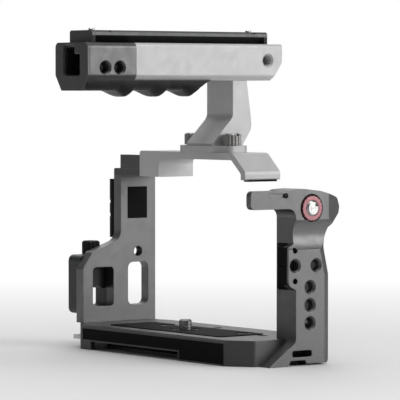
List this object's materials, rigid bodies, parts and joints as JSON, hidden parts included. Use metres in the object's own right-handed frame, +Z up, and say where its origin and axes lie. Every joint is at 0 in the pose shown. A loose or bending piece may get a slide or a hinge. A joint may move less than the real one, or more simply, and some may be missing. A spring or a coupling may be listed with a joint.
{
  "type": "camera cage",
  "caption": "Open metal camera cage with a base plate, side plates, a red-ringed lock knob and a top handle with a rail, sleeve and rubber finger grip.",
  "frame": {"origin": "mouth of the 1/4-inch tripod thread, on the face that the cage stands on", "axes": "+X to the grip side (the operator's right), +Y forward along the lens, +Z up"},
  "size_m": [0.1625, 0.1192, 0.1606],
  "materials": {
    "black_anodised": "fine bead-blasted black anodising, satin",
    "slate_anodised": "bead-blasted slate grey anodising, satin",
    "grey_anodised": "bead-blasted dark grey anodising, satin",
    "dark_anodised": "bead-blasted charcoal anodising, satin",
    "pale_anodised": "bead-blasted clear anodising, satin",
    "red_anodised": "red anodising, satin",
    "bright_steel": "polished",
    "pale_steel": "turned and knurled",
    "screw_steel": "turned",
    "black_steel": "black oxide",
    "black_rubber": "fine matt texture",
    "grip_rubber": "moulded, fine pebbled"
  },
  "bodies": {
    "cage": {"bottom_plate": "slate_anodised", "grip_side_plate": "grey_anodised", "left_side_plate": "grey_anodised", "top_left_plate": "slate_anodised", "cold_shoe": "slate_anodised", "top_bridge": "pale_anodised", "base_pad": "black_rubber", "rear_strip": "black_rubber", "side_pads": "black_rubber", "palm_pad": "black_rubber", "cage_screws": "black_steel", "shoe_screws": "screw_steel", "bridge_screws": "screw_steel", "tool_magnets": "bright_steel", "handle_foot": "pale_anodised", "stanchion": "pale_anodised", "stanchion_screws": "screw_steel", "handle_bar": "pale_anodised", "top_rail": "slate_anodised", "rail_screws": "screw_steel", "stop_spring_rear": "bright_steel", "stop_spring_front": "bright_steel", "rear_sleeve": "grey_anodised", "rear_cap": "slate_anodised", "rubber_grip": "grip_rubber", "grip_screws": "black_steel", "side_rail": "black_anodised", "side_rail_screws": "screw_steel", "clamp_frame": "dark_anodised", "clamp_screws": "black_steel"},
    "lock_knob": {"lock_knob": "bright_steel", "knob_ring": "red_anodised", "knob_clip": "screw_steel"},
    "lock_pad": {"lock_pad": "black_rubber"},
    "camera_screw": {"camera_screw": "screw_steel", "screw_clip": "screw_steel"},
    "d_ring": {"d_ring": "screw_steel"},
    "flat_tool": {"flat_tool": "bright_steel"},
    "foot_knob_left": {"foot_knob_left": "pale_steel"},
    "foot_knob_right": {"foot_knob_right": "pale_steel"},
    "stop_pin_rear": {"stop_pin_rear": "bright_steel"},
    "stop_pin_front": {"stop_pin_front": "bright_steel"},
    "clamp_jaw": {"clamp_jaw": "black_anodised"},
    "clamp_knob": {"clamp_knob": "black_steel"}
  },
  "joints": [
    {"name": "lock_knob_turn", "type": "hinge", "parent": "cage", "child": "lock_knob", "pos_m": [0.078, -0.0052, 0.0747], "axis": [-1, 0, 0], "range_deg": [0, 900]},
    {"name": "lock_pad_slide", "type": "slide", "parent": "cage", "child": "lock_pad", "axis": [-1, 0, 0], "range_m": [0, 0.002]},
    {"name": "camera_screw_turn", "type": "hinge", "parent": "cage", "child": "camera_screw", "pos_m": [0, -0.02, 0.006], "axis": [0, 0, 1], "continuous": true},
    {"name": "d_ring_fold", "type": "hinge", "parent": "camera_screw", "child": "d_ring", "pos_m": [0, -0.02, 0.0021], "axis": [-1, 0, 0], "range_deg": [0, 90]},
    {"name": "flat_tool_slide", "type": "slide", "parent": "cage", "child": "flat_tool", "axis": [-1, 0, 0], "range_m": [0, 0.045]},
    {"name": "foot_knob_left_turn", "type": "hinge", "parent": "cage", "child": "foot_knob_left", "pos_m": [-0.0158, -0.003, 0.105], "axis": [0, 0, 1], "continuous": true},
    {"name": "foot_knob_right_turn", "type": "hinge", "parent": "cage", "child": "foot_knob_right", "pos_m": [0.0158, -0.003, 0.105], "axis": [0, 0, 1], "continuous": true},
    {"name": "stop_pin_rear_press", "type": "slide", "parent": "cage", "child": "stop_pin_rear", "axis": [0, 0, -1], "range_m": [0, 0.0012], "stiffness_N_per_m": 300, "springref_m": -0.001, "deforming": ["stop_spring_rear"]},
    {"name": "stop_pin_front_press", "type": "slide", "parent": "cage", "child": "stop_pin_front", "axis": [0, 0, -1], "range_m": [0, 0.0012], "stiffness_N_per_m": 300, "springref_m": -0.001, "deforming": ["stop_spring_front"]},
    {"name": "clamp_knob_turn", "type": "hinge", "parent": "cage", "child": "clamp_knob", "pos_m": [-0.076, -0.0235, 0.0464], "axis": [0, 0, 1], "range_deg": [0, 3240]},
    {"name": "clamp_jaw_slide", "type": "slide", "parent": "cage", "child": "clamp_jaw", "axis": [0, 0, -1], "range_m": [0, 0.0045]}
  ],
  "couplings": [
    {"joint": "lock_knob_turn", "follows": "lock_pad_slide", "rad_per_m": 7853.9},
    {"joint": "clamp_knob_turn", "follows": "clamp_jaw_slide", "rad_per_m": 12566}
  ]
}
